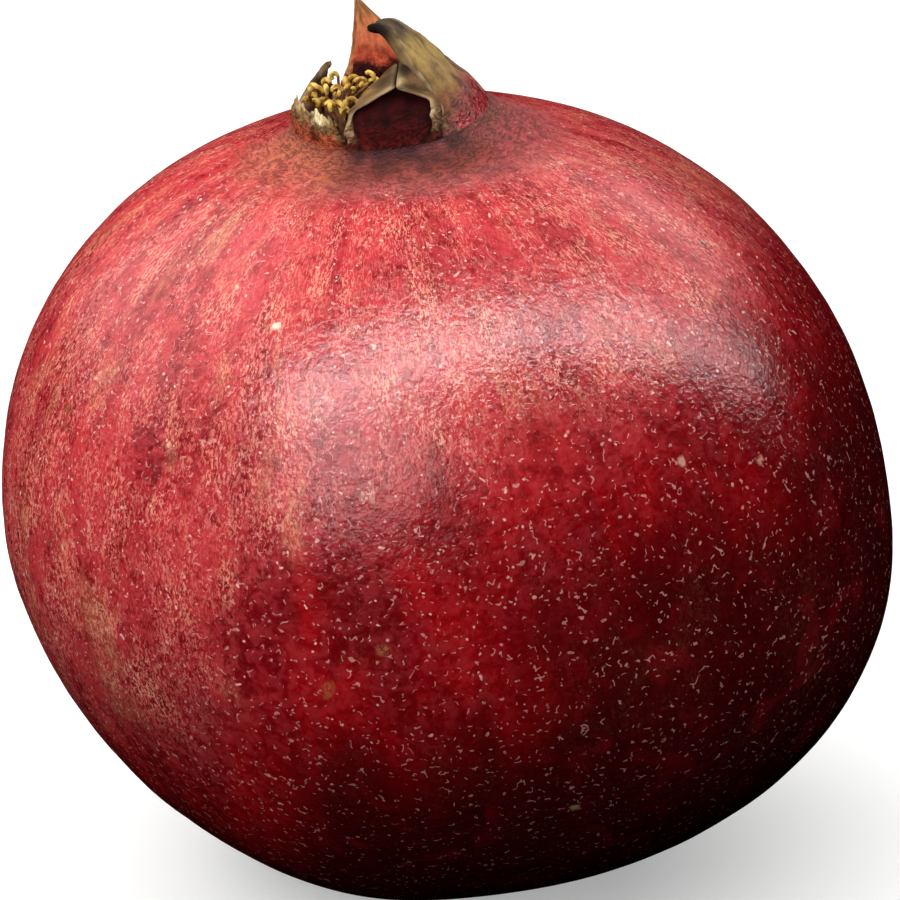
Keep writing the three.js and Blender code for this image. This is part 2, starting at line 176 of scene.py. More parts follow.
def skin_distance(direction):
    across = math.hypot(direction.x / HALF_WIDTH, direction.y / HALF_DEPTH)
    above = direction.z > 0
    upright = abs(direction.z) / (TOP_HEIGHT if above else FOOT_HEIGHT)
    power = TOP_SQUARENESS if above else FOOT_SQUARENESS
    turn = math.atan2(direction.x, -direction.y)
    ridges = sum(height * math.cos(count * (turn - math.radians(turned))) for count, height, turned in LOBES)
    return (across ** power + upright ** power) ** (-1 / power) + (1 - direction.z ** 2) * ridges


def sway(height):
    return sum(amount * math.sin(math.radians(180 * waves * height + shift)) for amount, waves, shift in SWAY)


BELLY_HEIGHT = FOOT_HEIGHT * (1 - (REST_RADIUS / HALF_WIDTH) ** FOOT_SQUARENESS) ** (1 / FOOT_SQUARENESS)


def body_point(polar, azimuth):
    """A point of the skin, by its angle from the crown's axis and its azimuth."""
    direction = level(azimuth) * math.sin(math.radians(polar))
    direction.z = math.cos(math.radians(polar))
    off = math.radians(CROWN_OFF) * (1 - smooth(polar, *STRAIGHTENED))
    direction = Matrix.Rotation(off, 3, leaning_axis) @ direction
    point = direction * skin_distance(direction)
    point.x += sway(point.z / (TOP_HEIGHT if point.z > 0 else FOOT_HEIGHT))
    point.z += BELLY_HEIGHT
    return point


CROWN_BASE = body_point(0, 0)
FOOT_MIDDLE = Vector((sway(-1), 0, 0))
LEANING = Matrix.Rotation(math.radians(CROWN_LEAN), 3, leaning_axis)
CROWN_AXIS = LEANING @ Vector((0, 0, 1))


def crown_direction(outwards, upwards, azimuth):
    return LEANING @ (level(azimuth) * outwards) + CROWN_AXIS * upwards


def crown_point(radius, height, azimuth):
    return CROWN_BASE + crown_direction(radius, height, azimuth)


def tube_slope(azimuth):
    share = (1 + math.cos(math.radians(azimuth - TUBE_SLOPE_TOWARDS))) / 2
    return lerp(TUBE_SLOPE_LEAST, TUBE_SLOPE_MOST, share ** 2)


def neck_point(share, azimuth):
    """The neck's skin: it leaves the body along its slope and reaches the rim along the tube's wall."""
    start = body_point(NECK_START, azimuth)
    leaving = (start - body_point(NECK_START + 1, azimuth)).normalized() * NECK_PULL
    end = crown_point(TUBE_RADIUS + TUBE_WALL / 2, RIM_HEIGHT, azimuth)
    slope = math.radians(tube_slope(azimuth))
    arriving = crown_direction(-math.sin(slope), math.cos(slope), azimuth).normalized() * TUBE_PULL
    s = share
    return (start * (2 * s ** 3 - 3 * s ** 2 + 1) + leaving * (s ** 3 - 2 * s ** 2 + s)
            + end * (3 * s ** 2 - 2 * s ** 3) + arriving * (s ** 3 - s ** 2))


def sepal_spine(sepal, along):
    """How far a sepal's middle line has leant in and risen at a share of its length, and its angle."""
    length = sepal["length"]
    slope = tube_slope((sepal["start"] + sepal["end"]) / 2)
    hook_at = sepal["hook_at"] * length

    def angle_at(distance):
        return math.radians(
            lerp(slope, sepal["lean"], smooth(distance, 0, BEND_LENGTH))
            + sepal["curl"] * (distance / length) ** 2
            + sepal["hook"] * smooth(distance, hook_at - BEND_LENGTH / 2, hook_at + BEND_LENGTH / 2))

    step = along * length / SPINE_STEPS
    inwards = upwards = 0
    for i in range(SPINE_STEPS):
        angle = angle_at((i + 0.5) * step)
        inwards += math.sin(angle) * step
        upwards += math.cos(angle) * step
    return inwards, upwards, angle_at(along * length)


def rounded(share, start):
    """1 up to a start, then falling to 0 at 1 as a quarter circle does."""
    return math.sqrt(max(0, 1 - (max(0, share - start) / (1 - start)) ** 2))


def listed(stops, share):
    """The amount at a share, in a straight line between listed stops."""
    for (low, first), (high, second) in zip(stops, stops[1:]):
        if share < high:
            return lerp(first, second, max(share - low, 0) / (high - low))
    return stops[-1][1]


def hemmed(sepal, side, width, rise):
    """Where a point lies across a sepal whose margins have turned over: along the blade's section, out of
    it, and the angle it has turned."""
    stops = sepal["hem"] and sepal["hem"][side > 0]
    if not stops:
        return side * width, 0, 0
    turned = smooth(rise, *HEM_RISE)
    share = rise / sepal["length"] + 0.02 * rough(rise * 1.7, side, 5, sepal["start"])
    over = min(listed(stops, share), 1.06 * max(width - HEM_RADIUS, 0.3 * width))
    fold = HEM_RADIUS * math.radians(HEM_ANGLE)
    fold_line = lerp(HEM_FROM * width, max(width - HEM_RADIUS, 0.3 * width), turned)
    if abs(side) <= HEM_FROM:
        return side / HEM_FROM * fold_line, 0, 0
    margin = (abs(side) - HEM_FROM) / (1 - HEM_FROM)
    gone = margin * lerp((1 - HEM_FROM) * width, fold + over, turned)
    bend = max(turned, 0.01) / HEM_RADIUS
    curved = min(gone, fold)
    angle = curved * bend
    across = math.sin(angle) / bend + (gone - curved) * math.cos(angle)
    out = (1 - math.cos(angle)) / bend + (gone - curved) * math.sin(angle)
    return math.copysign(fold_line + across, side), out, math.copysign(angle, side)


def sepal_point(sepal, side, along, face):
    """A point of a sepal: side -1 to 1 across it, along 0 to 1 up it, face 1 outside and -1 inside."""
    seed = sepal["start"]
    middle = (sepal["start"] + sepal["end"]) / 2
    half_width = math.radians(sepal["end"] - sepal["start"]) / 2 * TUBE_RADIUS
    rise = along * sepal["length"]
    jagged = 0.5 + 0.4 * rough(side * 4.2, 0.3, 0, seed) + 0.3 * rough(side * 13, 2.3, 0, seed)
    reached = along * (1 - sepal["ragged"] * jagged * smooth(along, 0, 0.6))
    inwards, upwards, angle = sepal_spine(sepal, reached)
    narrowed = max(0, (along - sepal["shoulder"]) / (1 - sepal["shoulder"])) ** sepal["taper"]
    slit = SLIT_HALF_WIDTH * smooth(rise, 0, SLIT_LENGTH)
    width = half_width * lerp(1, sepal["tip"], narrowed) - slit * (1 - narrowed)
    width *= 1 + 0.035 * rough(along * 9, side, 3, seed) * smooth(along, 0, 0.2)
    arc, out, fold_angle = hemmed(sepal, side, width, rise)
    cup_radius = TUBE_RADIUS / lerp(1, sepal["hood"], smooth(along, 0, HOODED_BY))
    turn = arc / cup_radius
    margin = smooth(abs(side), ROLLED_FROM, 1) * smooth(along, 0, ROLLED_BY)
    thinned = smooth(rise, 0, max(THINNED_BY * sepal["length"], THINNED_OVER))
    wall = lerp(TUBE_WALL, SEPAL_TIP_WALL, thinned) * lerp(1, SEPAL_MARGIN_SHARE, margin)
    out += KEPT_OUT * (TUBE_WALL - wall) / 2 * (1 - smooth(rise, 0, KEPT_OUT_TO))
    wall *= rounded(abs(side), 0.9) * rounded(along, 0.93) * lerp(1, sepal["edge_wall"], smooth(along, 0.35, 0.95))
    half = face * wall / 2
    out += sepal["roll"] * margin * (1 - narrowed) + half * math.cos(fold_angle)
    out += sepal["crumple"] * rough(side * 2.6, along * 5, 1, seed) * smooth(rise, 0.5, 3.5)
    sideways = -half * math.sin(fold_angle)
    off = cup_radius * (math.cos(turn) - 1) + out * math.cos(turn) - sideways * math.sin(turn)
    across = (cup_radius * math.sin(turn) + out * math.sin(turn) + sideways * math.cos(turn)
              + sepal["skew"] * along ** SKEW_POWER)
    tilt = angle * smooth(rise, 0, LEVEL_LENGTH)
    outwards = TUBE_RADIUS - inwards + off * math.cos(tilt)
    height = RIM_HEIGHT + upwards + off * math.sin(tilt)
    return crown_point(outwards, height, middle) + crown_direction(across, 0, middle + 90)


# Colours of the crown's tissue, sRGB. "skin" lets the rind's own red show.
SKIN = None
TISSUE = {
    # The front sepal's outside darkens to near black above its foot: its own dark maroon, with painted shade under its
    # folded margins
    "front": dict(outside=((0, "6A1C12"), (0.12, "560C08"), (0.3, "420406"), (0.7, "300204"), (1, "30140C")),
                  inside=((0, "3A140C"), (0.4, "7E6444"), (0.75, "8A7250"), (1, "5A422C")),
                  margin=("8C6A46", 1.5), painted_lip_highlight="C8AC80", painted_shade_tip=0.75, skin_to=(-0.2, -0.2)),
    # The hooded sepal's inside and its tip are painted near black: painted shade under the hood
    "hooded": dict(outside=((0, "9C4A34"), (0.2, "94582E"), (0.38, "B08A4C"), (0.6, "BE9C52"),
                            (0.76, "86693E"), (0.87, "503C28"), (1, "1E150E")),
                   inside=((0, "3A140C"), (0.5, "4A2A18"), (0.85, "20140C"), (1, "120C08")),
                   margin=("94784E", 0.9), painted_lip_highlight="B89C70", painted_shade_tip=1, skin_to=(0.0, 0.28)),
    "hidden": dict(outside=((0, "9A3A2A"), (0.5, "96602E"), (1, "5A4028")),
                   inside=((0, "3A140C"), (0.5, "7A3A20"), (1, "5A4028")),
                   margin=("8C7048", 0.5), skin_to=(0.3, 0.4)),
    "upright": dict(outside=((0, "A83028"), (0.5, "A85830"), (0.85, "9A7038"), (1, "6A4A28")),
                    inside=((0, "2A0806"), (0.22, "4A120C"), (0.33, "DC6244"), (0.5, "FF8A60"),
                            (0.75, "FA9C68"), (0.92, "E0A468"), (1, "96683A")),
                    margin=("B87A48", 0.25), skin_to=(0.3, 0.3), patchy=0.15),
    "short": dict(outside=((0, "9A4A34"), (0.5, "8E6A48"), (1, "75583C")),
                  inside=((0, "3A140C"), (0.4, "5A3C28"), (1, "86684C")),
                  margin=("8A6C4C", 0.3), skin_to=(0.3, 0.3)),
    "torn": dict(outside=((0, "C05C3A"), (0.35, "B05A38"), (0.6, "94683E"), (0.85, "B49462"), (1, "DCC690")),
                 inside=((0, "4A2A18"), (0.5, "A08056"), (1, "DCC690")),
                 margin=("8A6C44", 0.5), skin_to=(-0.2, -0.2)),
}
CREAM = ("torn", 0.45, 0.3, "F6E2AE")  # a pale patch on a sepal: at which side, how far it reaches, colour
# The cup's floor under the stamens is painted near black, as are the first stops of the sepals' insides down at the
# cup: painted shade in the hollow
CUP_SHADE_COLOUR = "2E0F0A"
# The neck's brown is its own, darker at the rim with painted shade at the front sepal's foot
NECK_BROWN = ("8E3018", "4C0E08")  # low on the neck, and at the rim
NECK_ORANGE = ("D06A40", "B4603C")
# Dark red on the neck's right flank, which faces away from the light: painted shade over the neck's red
NECK_SHADE_RED = ("A4342E", "84402C")


def ramp(stops, share):
    """The colour at a share between listed stops."""
    for (low, first), (high, second) in zip(stops, stops[1:]):
        if share <= high:
            return blended(linear(first), linear(second), smooth(share, low, high))
    return linear(stops[-1][1])


def sepal_tissue(name, sepal, side, along, face):
    """Colour of a sepal's dried tissue, and as its fourth number how much of it covers the skin."""
    paint = TISSUE[name]
    seed = sepal["start"]
    mottle = rough(side * 3, along * 6, face, seed)
    share = min(max(along + 0.09 * mottle, 0), 1)
    colour = ramp(paint["outside" if face > 0 else "inside"], share)
    half_width = math.radians(sepal["end"] - sepal["start"]) / 2 * TUBE_RADIUS
    narrowed = max(0, (along - sepal["shoulder"]) / (1 - sepal["shoulder"])) ** sepal["taper"]
    width = half_width * lerp(1, sepal["tip"], narrowed)
    margin_colour, margin_width = paint["margin"]
    from_edge = (1 - abs(side)) * width + 0.25 * mottle
    dried = smooth(from_edge, margin_width * 1.15, margin_width * 0.75) * smooth(along * sepal["length"], 0.2, 1.4)
    if sepal["hem"] and sepal["hem"][side > 0]:
        dried = smooth(abs(side) + 0.03 * mottle, HEM_FROM - 0.02, HEM_FROM + 0.07)
        dried *= smooth(along * sepal["length"], 0.2, 1.4)
        # A paler lip along each folded margin's edge: a painted highlight where the edge catches the light
        painted_lip_highlight = smooth(abs(side), 0.9, 0.98)
        margin_paint = blended(linear(margin_colour), linear(paint["painted_lip_highlight"]), painted_lip_highlight)
        # Margins darken towards the tip: painted shade in the crease at the front sepal's apex and under the hooded
        # sepal's hook
        margin_paint = blended(margin_paint, linear(paint["outside"][-1][1]), smooth(along, 0.66, 0.92) * paint["painted_shade_tip"])
    else:
        margin_paint = linear(margin_colour)
    colour = blended(colour, margin_paint, dried)
    if name == CREAM[0]:
        cream = smooth(abs(side - CREAM[1]), CREAM[2], CREAM[2] / 3) * smooth(along, 0.45, 0.75)
        colour = blended(colour, linear(CREAM[3]), cream)
    length = sepal["length"]
    patches = smooth(rough(side * 4, along * length * 0.8, face, seed + 3), 0.05, 0.6) * paint.get("patchy", 0.55)
    shade = (1 - patches) * (1 + 0.3 * rough(side * 7, along * length * 1.4, face, seed + 5))
    colour = tuple(channel * shade for channel in colour[:3])
    skin_low, skin_high = paint["skin_to"]
    skin_to = lerp(skin_low, skin_high, (side + 1) / 2) + 0.08 * mottle
    cover = 1 if face <= 0 else max(smooth(along, skin_to - 0.1, skin_to + 0.12), dried)
    return (*colour, cover)


NECK_TINTS = (
    # azimuth of its middle, half width where it is full, half width where it ends, share of the neck at which it
    # starts and is full, colour, how much it covers
    (-60, 22, 44, 0.1, 0.9, NECK_ORANGE, 0.95),
    (8, 26, 50, 0.22, 0.72, NECK_BROWN, 1),
    (78, 20, 50, 0.05, 0.7, NECK_SHADE_RED, 0.85),
)


def neck_tissue(share, azimuth):
    """Tint of the neck's skin: orange at the front left, brown below the front sepal, and dark red at the right,
    painted shade on the flank turned from the light.
    """
    mottle = 0.3 * rough(azimuth * 0.12, share * 5, 2)
    amounts = []
    for middle, full, end, low, high, _, most in NECK_TINTS:
        apart = abs((azimuth - middle + 180) % 360 - 180)
        strong = min(1, smooth(share, low, high) * (1 + mottle)) if share < 1 else 1
        amounts.append(most * smooth(apart, end, full) * max(strong, smooth(share, 0.85, 1)))
    total = sum(amounts)
    colour = [0, 0, 0]
    for amount, tint in zip(amounts, NECK_TINTS):
        low, rim = (linear(end) for end in tint[5])
        tone = blended(low, rim, smooth(share + 0.3 * mottle, 0.5, 1))
        colour = [old + channel * amount / max(total, 1e-6) for old, channel in zip(colour, tone)]
    return (*colour, min(1, total))


def crown_side(step):
    """Where a column stands across its sepal, -1 to 1, a little crowded at the sides."""
    even = 2 * step / COLUMNS - 1
    return even + EDGE_CROWDING * math.sin(math.pi * even)


SKIN_ROW_MM = 0.8  # of skin to a degree of polar angle
NECK_MM = 13  # of skin along the neck
FLOW_RADIUS = 46  # mm at which the flow's turn is drawn at its true width


def flow_at(azimuth, distance):
    """Coordinates that run with the skin: two for the turn round the axis, one along the meridian."""
    return level(azimuth) * FLOW_RADIUS + Vector((0, 0, distance))


def rind_column(name, step):
    """Places, flows and tissue colours of one column, from the foot's hollow to the cup's floor."""
    sepal = SEPALS[name]
    side = crown_side(step)
    middle = (sepal["start"] + sepal["end"]) / 2
    half_angle = (sepal["end"] - sepal["start"]) / 2
    body_azimuth = middle + half_angle * (2 * step / COLUMNS - 1)
    crown_azimuth = middle + half_angle * side
    bare = (0, 0, 0, 0)
    rows = []
    foot_polar = 180 - math.degrees(math.atan2(REST_RADIUS, BELLY_HEIGHT))
    for i in range(FOOT_STEPS):
        radius = REST_RADIUS * i / FOOT_STEPS
        height = HOLLOW_DEPTH * (1 - smooth(radius, HOLLOW_FLOOR, HOLLOW_RADIUS))
        point = FOOT_MIDDLE + level(body_azimuth) * radius + Vector((0, 0, height))
        rows.append((point, flow_at(body_azimuth, SKIN_ROW_MM * 180 - radius), bare))
    for i in range(BODY_STEPS + 1):
        polar = lerp(foot_polar, NECK_START, i / BODY_STEPS)
        point = body_point(polar, body_azimuth)
        point.z = max(point.z, 0)
        rows.append((point, flow_at(body_azimuth, SKIN_ROW_MM * polar), bare))
    neck_from = SKIN_ROW_MM * NECK_START
    for i in range(1, NECK_STEPS + 1):
        share = i / NECK_STEPS
        azimuth = lerp(body_azimuth, crown_azimuth, share)
        rows.append((neck_point(share, azimuth), flow_at(azimuth, neck_from - NECK_MM * share),
                     neck_tissue(share, azimuth)))
    rim = neck_from - NECK_MM
    for i in range(1, SEPAL_STEPS + 1):
        along = (i / SEPAL_STEPS) ** 1.15
        rows.append((sepal_point(sepal, side, along, 1), flow_at(crown_azimuth, rim - along * sepal["length"]),
                     sepal_tissue(name, sepal, side, along, 1)))
    for i in range(SEPAL_STEPS - 1, 0, -1):
        along = (i / SEPAL_STEPS) ** 1.15
        rows.append((sepal_point(sepal, side, along, -1), flow_at(crown_azimuth, rim - along * sepal["length"]),
                     sepal_tissue(name, sepal, side, along, -1)))
    cup_shade = (*linear(CUP_SHADE_COLOUR)[:3], 1)
    rows.append((crown_point(TUBE_RADIUS - TUBE_WALL / 2, RIM_HEIGHT, crown_azimuth),
                 flow_at(crown_azimuth, rim), cup_shade))
    for radius, height in CUP_ROWS:
        rows.append((crown_point(radius, height, crown_azimuth), flow_at(crown_azimuth, rim + height), cup_shade))
    return rows


def origin_shift():
    """From the shape's own axes to the frame's, whose origin is the middle of the whole fruit's box."""
    points = [body_point(polar, azimuth) for polar in range(60, 130, 2) for azimuth in range(0, 360, 3)]
    low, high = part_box("fruit")
    middle = (low + high) / 2 / MM
    found = [(min(p[i] for p in points) + max(p[i] for p in points)) / 2 for i in (0, 1)]
    return Vector((middle.x - found[0], middle.y - found[1], low.z / MM))


SHIFT = origin_shift()


def in_frame(point):
    """A point of the shape, in millimetres on its own axes, as metres in the frame."""
    return (point + SHIFT) * MM


def start_clean():
    bpy.ops.object.select_all(action="DESELECT")


def pick(*objects):
    start_clean()
    for item in objects:
        item.select_set(True)
    bpy.context.view_layer.objects.active = objects[0]


def in_edit_mode(item, *steps):
    """Runs the steps in edit mode with all of the item selected."""
    pick(item)
    bpy.ops.object.mode_set(mode="EDIT")
    bpy.ops.mesh.select_all(action="SELECT")
    for step in steps:
        step()
    bpy.ops.object.mode_set(mode="OBJECT")


def applied(item, kind, **settings):
    """Puts a modifier on the item and applies it."""
    pick(item)
    modifier = item.modifiers.new(kind.title(), kind)
    for setting, value in settings.items():
        setattr(modifier, setting, value)
    bpy.ops.object.modifier_apply(modifier=modifier.name)


def finished(item, name, node):
    """Names a finished piece, and ties it to the frame."""
    item.name = item.data.name = name
    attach(item, "root")
    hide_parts(node)
    start_clean()
    return item


# Materials


MATH, VECTOR, NOISE, RANGE, MIX = (
    "ShaderNodeMath", "ShaderNodeVectorMath", "ShaderNodeTexNoise", "ShaderNodeMapRange", "ShaderNodeMix")
MAPPING, BUMP = "ShaderNodeMapping", "ShaderNodeBump"
SOFT = dict(interpolation_type="SMOOTHSTEP")  # for a range: inputs 0 value, 1 and 2 from, 3 and 4 to
COLOURS = dict(data_type="RGBA", out=2)  # for a mix: inputs 0 factor, 6 and 7 colours


def add_node(tree, kind, inputs=None, out=0, **settings):
    """Adds a node; an input is set to a value, or linked when a socket is given. Returns one output."""
    node = tree.nodes.new(kind)
    for setting, value in settings.items():
        setattr(node, setting, value)
    for name, value in (inputs or {}).items():
        if isinstance(value, bpy.types.NodeSocket):
            tree.links.new(value, node.inputs[name])
        else:
            node.inputs[name].default_value = value
    return node.outputs[out] if len(node.outputs) else None


def new_material(name):
    material = bpy.data.materials.new(name)
    material.use_nodes = True
    material.node_tree.nodes.clear()
    return material, material.node_tree


def close_material(tree, inputs):
    shader = add_node(tree, "ShaderNodeBsdfPrincipled", inputs)
    add_node(tree, "ShaderNodeOutputMaterial", {"Surface": shader})


LENTICELS = (
    # dots and short dashes in the skin: spacing and radii in mm, share of the cells that have one
    dict(spacing=0.86, least=0.08, size=0.18, share=0.5, bend=0.7, seed=0.0),
    dict(spacing=1.3, least=0.1, size=0.24, share=0.5, bend=1.4, seed=40.0),
)
SMALL_SCAR = 0.7  # mm; larger ones are broken up
SCARS = (
    # rubbed and healed marks: azimuth, polar angle, radius in mm, colour, how strong
    (-36.6, 36.9, 0.45, "FFE0B8", 0.9), (-24.8, 41.5, 0.6, "FFF0D0", 0.95), (-8.2, 62.5, 0.9, "FFC8B0", 0.6),
    (-62.9, 60.3, 0.9, "74602E", 0.65), (-62.5, 62.3, 0.9, "66401E", 0.6), (-44.6, 59.6, 1.9, "6A0C18", 0.6),
    (-41.2, 62.2, 2.1, "5A0A14", 0.65), (-38.0, 60.6, 1.8, "6A0C18", 0.55), (-39.3, 58.9, 0.4, "F0B090", 0.8),
    (65.8, 43.9, 0.5, "3A1A14", 0.8), (57.8, 48.5, 1.0, "F0806A", 0.7), (35.4, 64.8, 0.55, "E8A890", 0.8),
    (46.6, 68.3, 0.5, "E8A890", 0.8), (15.7, 111.4, 0.6, "D8B890", 0.7), (-8.2, 82.3, 0.8, "D08A60", 0.5),
    (-15.7, 88.1, 1.0, "C07A48", 0.5), (-48.9, 91.6, 1.8, "D89A68", 0.5), (150, 80, 1.4, "A87048", 0.6),
    (205, 100, 1.2, "B88858", 0.7), (250, 60, 1.0, "E0A880", 0.6), (120, 58, 0.6, "FFD0B0", 0.8),
)


def rind_material(settings, name, shine):
    """Ripe pomegranate rind: leathery waxed skin, coral towards the upper left and crimson to maroon towards the lower
    right, partly its own tone and partly painted light and shade.

    The wax gives a soft broad shine, the corky pores show as pale dots and dashes, and short pale
    streaks run from the crown with the growth of the skin. Where the sepals have dried it is dull."""
    material, tree = new_material(name)
    add = partial(add_node, tree)
    place = add("ShaderNodeTexCoord", out="Object")
    millimetres = add(VECTOR, {0: place, "Scale": 1 / MM}, operation="SCALE")
    flow = add("ShaderNodeAttribute", out="Vector", attribute_name="flow")
    tissue = add("ShaderNodeAttribute", out="Color", attribute_name="tissue")
    cover = tissue.node.outputs["Alpha"]

    # Where the skin is coral and where it is crimson: random patches of its own tone, and painted light and shade that
    # make it paler towards the upper left and higher up and darker towards the lower right
    patchy = add(NOISE, {"Vector": millimetres, "Scale": 0.045, "Detail": 3.0})
    painted_light_slope = add(VECTOR, {0: millimetres, 1: (-0.017, 0.001, 0.013)}, out="Value", operation="DOT_PRODUCT")
    rise = add("ShaderNodeSeparateXYZ", {0: millimetres}, out=2)
    upper = add(RANGE, {0: rise, 1: 46.0, 2: 78.0, 3: -0.67, 4: -0.05})
    lower = add(RANGE, {0: rise, 1: 6.0, 2: 44.0, 3: -0.22, 4: 0.0})
    painted_light_slope = add(MATH, {0: painted_light_slope, 1: add(MATH, {0: upper, 1: lower})})
    paleness = add(MATH, {0: patchy, 1: 1.1, 2: painted_light_slope}, operation="MULTIPLY_ADD")
    coral = add(RANGE, {0: paleness, 1: 0.42, 2: 1.02}, **SOFT)
    along = add(MAPPING, {"Vector": flow, "Scale": (0.16, 0.16, 0.05)})
    cloudy = add(NOISE, {"Vector": along, "Scale": 1.0, "Detail": 4.0, "Distortion": 0.4})
    deep = add(MIX, {0: add(RANGE, {0: cloudy, 1: 0.38, 2: 0.66}, **SOFT), 6: settings.crimson_dark,
                     7: settings.crimson}, **COLOURS)
    # Maroon towards the lower right: painted shade over the skin's deep red
    painted_shade_to_maroon = add(RANGE, {0: paleness, 1: 0.46, 2: -0.08, 4: 0.92}, **SOFT)
    deep = add(MIX, {0: painted_shade_to_maroon, 6: deep, 7: settings.maroon}, **COLOURS)
    light = add(MIX, {0: add(RANGE, {0: cloudy, 1: 0.34, 2: 0.64}, **SOFT), 6: linear("9A1220"),
                      7: settings.coral}, **COLOURS)
    colour = add(MIX, {0: coral, 6: deep, 7: light}, **COLOURS)

    # Dark blotches of a few millimetres, and fine clouding at about 1 mm
    blotchy = add(NOISE, {"Vector": millimetres, "Scale": 0.2, "Detail": 4.0, "Distortion": 0.5})
    colour = add(MIX, {0: add(RANGE, {0: blotchy, 1: 0.52, 2: 0.68, 4: 0.55}, **SOFT), 6: colour,
                       7: linear("7E0814")}, **COLOURS)
    fine = add(NOISE, {"Vector": millimetres, "Scale": 0.9, "Detail": 3.0, "Distortion": 0.6})
    clouds = add(MATH, {0: add(RANGE, {0: fine, 1: 0.38, 2: 0.7, 4: 0.5}, **SOFT),
                        1: add(RANGE, {0: paleness, 1: 0.1, 2: 0.9, 3: 0.1}, **SOFT)}, operation="MULTIPLY")
    colour = add(MIX, {0: clouds, 6: colour, 7: linear("D2444A")}, **COLOURS)
    dark_clouds = add(RANGE, {0: fine, 1: 0.5, 2: 0.3, 4: 0.45}, **SOFT)
    colour = add(MIX, {0: dark_clouds, 6: colour, 7: linear("6E060E")}, **COLOURS)

    # Pale flecks, 0.2 mm wide and twice as long, thickest on the coral side
    small = add(MAPPING, {"Vector": flow, "Scale": (3.2, 3.2, 1.7)})
    flecky = add(NOISE, {"Vector": small, "Scale": 1.0, "Detail": 2.0, "Distortion": 1.0, "Roughness": 0.55})
    broad = add(MAPPING, {"Vector": flow, "Scale": (0.2, 0.2, 0.1)})
    thick = add(NOISE, {"Vector": broad, "Scale": 1.0, "Detail": 4.0, "Distortion": 0.6, "Roughness": 0.6})
    thickness = add(MATH, {0: add(RANGE, {0: thick, 1: 0.36, 2: 0.64, 3: 0.1, 4: 0.8}, **SOFT),
                           1: add(RANGE, {0: coral, 1: 0.2, 2: 1.0, 3: 0.03, 4: 0.95}, **SOFT)}, operation="MULTIPLY")
    height = add("ShaderNodeSeparateXYZ", {0: flow}, out=2)
    below_neck = add(RANGE, {0: height, 1: 11.0, 2: 19.5, 3: 0.15, 4: 1.0}, **SOFT)
    above_foot = add(RANGE, {0: rise, 1: 6.0, 2: 32.0}, **SOFT)
    thickness = add(MATH, {0: thickness, 1: add(MATH, {0: below_neck, 1: above_foot}, operation="MULTIPLY")},
                    operation="MULTIPLY")
    fleck = add(MATH, {0: add(RANGE, {0: flecky, 1: 0.47, 2: 0.6}, **SOFT), 1: thickness}, operation="MULTIPLY")
    fleck_colour = add(MIX, {0: add(RANGE, {0: blotchy, 1: 0.35, 2: 0.6}, **SOFT), 6: linear("FFAE90"),
                             7: linear("EE8478")}, **COLOURS)
    colour = add(MIX, {0: fleck, 6: colour, 7: fleck_colour}, **COLOURS)

    # Curled flecks: where a noise crosses its middle, broken up by another
    curl = add(NOISE, {"Vector": millimetres, "Scale": 0.9, "Detail": 1.0, "Distortion": 0.3})
    crossing = add(MATH, {0: add(MATH, {0: curl, 1: 0.5}, operation="SUBTRACT")}, operation="ABSOLUTE")
    pieces = add(NOISE, {"Vector": millimetres, "Scale": 1.7, "Detail": 0.0})
    curled = add(MATH, {0: add(RANGE, {0: crossing, 1: 0.034, 2: 0.018}, **SOFT),
                        1: add(RANGE, {0: pieces, 1: 0.63, 2: 0.67}, **SOFT)}, operation="MULTIPLY")
    curled = add(MATH, {0: curled, 1: add(MATH, {0: below_neck, 1: 0.6}, operation="MULTIPLY")}, operation="MULTIPLY")
    colour = add(MIX, {0: curled, 6: colour, 7: linear("F0A8A0")}, **COLOURS)

    # Yellowish patches on the coral side
    broken = add(MAPPING, {"Vector": flow, "Scale": (0.11, 0.11, 0.05)})
    yellow = add(NOISE, {"Vector": broken, "Scale": 1.0, "Detail": 5.0, "Distortion": 1.0, "Roughness": 0.6})
    yellow = add(MATH, {0: add(RANGE, {0: yellow, 1: 0.56, 2: 0.74}, **SOFT),
                        1: add(RANGE, {0: coral, 1: 0.2, 2: 0.8, 3: 0.02, 4: 0.5}, **SOFT)}, operation="MULTIPLY")
    yellow = add(MATH, {0: yellow, 1: add(RANGE, {0: flecky, 1: 0.4, 2: 0.6, 3: 0.3}, **SOFT)}, operation="MULTIPLY")
    colour = add(MIX, {0: yellow, 6: colour, 7: linear("F0AC7C")}, **COLOURS)

    # Lenticels: the cells' middles, bent out of round
    pores = None
    bent = add(NOISE, {"Vector": millimetres, "Scale": 0.9, "Detail": 1.0}, out="Color")
    for layer in LENTICELS:
        shifted = add(VECTOR, {0: bent, 1: (layer["bend"],) * 3, 2: millimetres}, operation="MULTIPLY_ADD")
        moved = add(MAPPING, {"Vector": shifted, "Location": (layer["seed"], 0, 0)})
        cells = add("ShaderNodeTexVoronoi", {"Vector": moved, "Scale": 1 / layer["spacing"]}, out="Distance").node
        lot = add("ShaderNodeSeparateColor", {0: cells.outputs["Color"]}).node
        distance = add(MATH, {0: cells.outputs["Distance"], 1: layer["spacing"]}, operation="MULTIPLY")
        there = add(MATH, {0: lot.outputs[0], 1: 1 - layer["share"]}, operation="GREATER_THAN")
        size = add(RANGE, {0: lot.outputs[2], 3: layer["least"], 4: layer["size"]})
        inside = add(MATH, {0: size, 1: distance}, operation="SUBTRACT")
        pore = add(MATH, {0: add(RANGE, {0: inside, 1: -0.01, 2: 0.05}, **SOFT), 1: there}, operation="MULTIPLY")
        pore = add(MATH, {0: pore, 1: add(RANGE, {0: lot.outputs[1], 3: 0.35}, **SOFT)}, operation="MULTIPLY")
        pores = add(MATH, {0: pore, 1: pores or 0.0}, operation="MAXIMUM")
